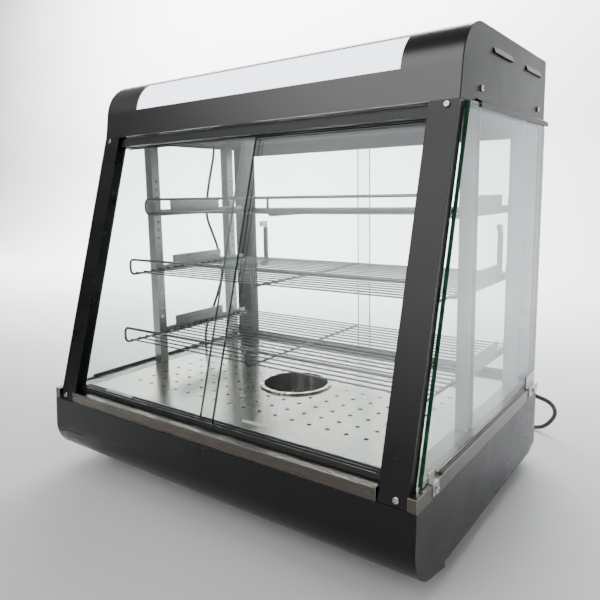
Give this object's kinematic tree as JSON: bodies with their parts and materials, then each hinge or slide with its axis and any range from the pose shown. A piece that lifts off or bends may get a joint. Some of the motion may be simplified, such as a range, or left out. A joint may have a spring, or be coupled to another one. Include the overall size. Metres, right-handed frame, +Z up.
{
  "type": "hot food display case",
  "caption": "Countertop hot food display case with a leaning glass front, sliding doors, wire shelves, a heated base and a lit curved canopy.",
  "frame": {"origin": "on the floor under the middle of the case, between its front and the thermostat knob's face", "axes": "+X to the right as seen from the front, +Y to the rear, +Z up"},
  "size_m": [0.6736, 0.6654, 0.6544],
  "materials": {
    "painted_black": "satin",
    "stainless": "brushed",
    "polished_steel": "polished",
    "chrome": "polished",
    "clear_glass": "polished",
    "clear_plastic": "gloss",
    "black_plastic": "matte",
    "white_plastic": "matte",
    "diffuser_white": "satin",
    "lamp_glass": "frosted",
    "black_rubber": "matte",
    "rocker_plastic": "gloss",
    "element_steel": "heat tinted",
    "zinc_sheet": "satin"
  },
  "bodies": {
    "case": {"base_front_fascia": "painted_black", "base_side_left": "painted_black", "base_side_right": "painted_black", "base_rear_panel": "painted_black", "canopy_cover": "painted_black", "canopy_end_left": "painted_black", "canopy_end_right": "painted_black", "canopy_ceiling": "painted_black", "front_post_left": "painted_black", "front_post_right": "painted_black", "rear_post_left": "painted_black", "rear_post_right": "painted_black", "top_deck": "stainless", "pilasters_left": "stainless", "pilasters_right": "stainless", "shelf_brackets_left": "stainless", "shelf_brackets_right": "stainless", "glass_clips": "stainless", "glass_strips": "stainless", "case_screws": "chrome", "temperature_gauge": "chrome", "side_glass_left": "clear_glass", "side_glass_right": "clear_glass", "glass_seats": "clear_plastic", "front_track_lower": "black_plastic", "front_track_upper": "black_plastic", "rear_track_lower": "black_plastic", "rear_track_upper": "black_plastic", "thermostat_body": "black_plastic", "power_switch_body": "black_plastic", "light_switch_body": "black_plastic", "lamp_holders": "white_plastic", "terminal_block": "white_plastic", "light_diffuser": "diffuser_white", "lamp_tube": "lamp_glass", "rubber_feet": "black_rubber", "cord_gland": "black_rubber", "power_cord": "black_rubber", "cord_coil": "black_rubber", "mains_plug": "black_rubber", "lamp_lead": "black_rubber", "heating_element": "element_steel", "heat_liner": "zinc_sheet", "base_bottom_plate": "zinc_sheet"},
    "front_door_left": {"front_door_left": "clear_glass", "door_pull_left": "clear_plastic"},
    "front_door_right": {"front_door_right": "clear_glass", "door_pull_right": "clear_plastic"},
    "rear_door_left": {"rear_door_left": "clear_glass", "rear_handle_left": "chrome"},
    "rear_door_right": {"rear_door_right": "clear_glass", "rear_handle_right": "chrome"},
    "tray": {"perforated_tray": "stainless"},
    "cup": {"water_cup": "polished_steel"},
    "shelf_upper": {"wire_shelf_1": "chrome"},
    "shelf_middle": {"wire_shelf_2": "chrome"},
    "shelf_lower": {"wire_shelf_3": "chrome"},
    "thermostat_knob": {"thermostat_knob": "black_plastic"},
    "power_rocker": {"power_switch_rocker": "rocker_plastic"},
    "light_rocker": {"light_switch_rocker": "rocker_plastic"}
  },
  "joints": [
    {"name": "front_door_left_slide", "type": "slide", "parent": "case", "child": "front_door_left", "axis": [1, 0, 0], "range_m": [0, 0.265]},
    {"name": "front_door_right_slide", "type": "slide", "parent": "case", "child": "front_door_right", "axis": [1, 0, 0], "range_m": [-0.265, 0]},
    {"name": "rear_door_left_slide", "type": "slide", "parent": "case", "child": "rear_door_left", "axis": [1, 0, 0], "range_m": [0, 0.235]},
    {"name": "rear_door_right_slide", "type": "slide", "parent": "case", "child": "rear_door_right", "axis": [1, 0, 0], "range_m": [-0.235, 0]},
    {"name": "tray_lift", "type": "slide", "parent": "case", "child": "tray", "axis": [0, 0, 1], "range_m": [0, 0.02]},
    {"name": "cup_lift", "type": "slide", "parent": "tray", "child": "cup", "axis": [0, 0, 1], "range_m": [0, 0.03]},
    {"name": "shelf_upper_lift", "type": "slide", "parent": "case", "child": "shelf_upper", "axis": [0, 0, 1], "range_m": [0, 0.03]},
    {"name": "shelf_middle_lift", "type": "slide", "parent": "case", "child": "shelf_middle", "axis": [0, 0, 1], "range_m": [0, 0.03]},
    {"name": "shelf_lower_lift", "type": "slide", "parent": "case", "child": "shelf_lower", "axis": [0, 0, 1], "range_m": [0, 0.03]},
    {"name": "thermostat_turn", "type": "hinge", "parent": "case", "child": "thermostat_knob", "pos_m": [-0.07, 0.236, 0.084], "axis": [0, -1, 0], "range_deg": [0, 270]},
    {"name": "power_rocker_tilt", "type": "hinge", "parent": "case", "child": "power_rocker", "pos_m": [-0.205, 0.236, 0.084], "axis": [1, 0, 0], "range_deg": [0, 16]},
    {"name": "light_rocker_tilt", "type": "hinge", "parent": "case", "child": "light_rocker", "pos_m": [-0.15, 0.236, 0.084], "axis": [1, 0, 0], "range_deg": [0, 16]}
  ]
}
